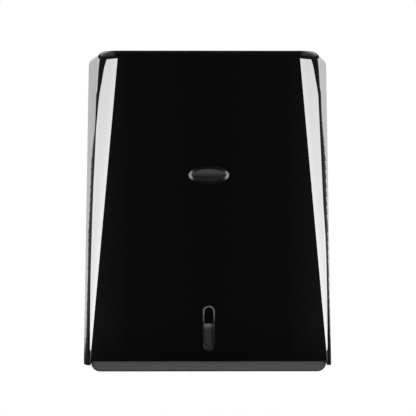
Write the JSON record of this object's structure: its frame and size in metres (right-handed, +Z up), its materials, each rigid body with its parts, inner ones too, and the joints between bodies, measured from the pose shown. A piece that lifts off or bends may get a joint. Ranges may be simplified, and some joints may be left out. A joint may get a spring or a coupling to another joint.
{
  "type": "folded paper towel dispenser",
  "caption": "Wall-hung dispenser for folded paper towels: gloss hinged cover with a narrow sight window, top cam lock and an open bottom tray.",
  "frame": {"origin": "centre of the four wall-screw holes, on the wall plane", "axes": "+X right seen from the front, +Y into the wall, +Z up"},
  "size_m": [0.288, 0.1312, 0.3589],
  "materials": {
    "cover_plastic": "polished black moulding",
    "badge_plastic": "bare black oval plate",
    "bezel_plastic": "polished black ring",
    "smoked_lens": "smoked clear plastic",
    "tray_plastic": "satin charcoal moulding",
    "chassis_plastic": "fine textured dark grey moulding",
    "lock_chrome": "polished plating",
    "lock_brass": "nickelled brass plug",
    "zinc_steel": "bright zinc plate",
    "keeper_steel": "zinc-plated strip",
    "pin_steel": "ground pin",
    "spring_steel": "push-on washers"
  },
  "bodies": {
    "wall_unit": {"back_plate": "chassis_plastic", "towel_tray": "tray_plastic", "tray_screws": "zinc_steel", "guide_left": "chassis_plastic", "guide_right": "chassis_plastic", "guide_screws": "zinc_steel", "lock_keeper": "keeper_steel", "keeper_screws": "zinc_steel", "hinge_pin_left": "pin_steel", "hinge_pin_right": "pin_steel"},
    "cover": {"front_cover": "cover_plastic", "badge_plate": "badge_plastic", "window_bezel": "bezel_plastic", "sight_window": "smoked_lens", "window_clips": "spring_steel", "lock_barrel": "lock_chrome", "lock_washer": "zinc_steel", "lock_nut": "zinc_steel"},
    "lock": {"lock_cylinder": "lock_brass", "lock_cam": "zinc_steel", "cam_screw": "zinc_steel"}
  },
  "joints": [
    {"name": "cover_hinge", "type": "hinge", "parent": "wall_unit", "child": "cover", "pos_m": [0, -0.015, -0.164], "axis": [1, 0, 0], "range_deg": [0, 90]},
    {"name": "lock_turn", "type": "hinge", "parent": "cover", "child": "lock", "pos_m": [0, -0.05, 0.178], "axis": [0, 0, -1], "range_deg": [0, 90]}
  ]
}
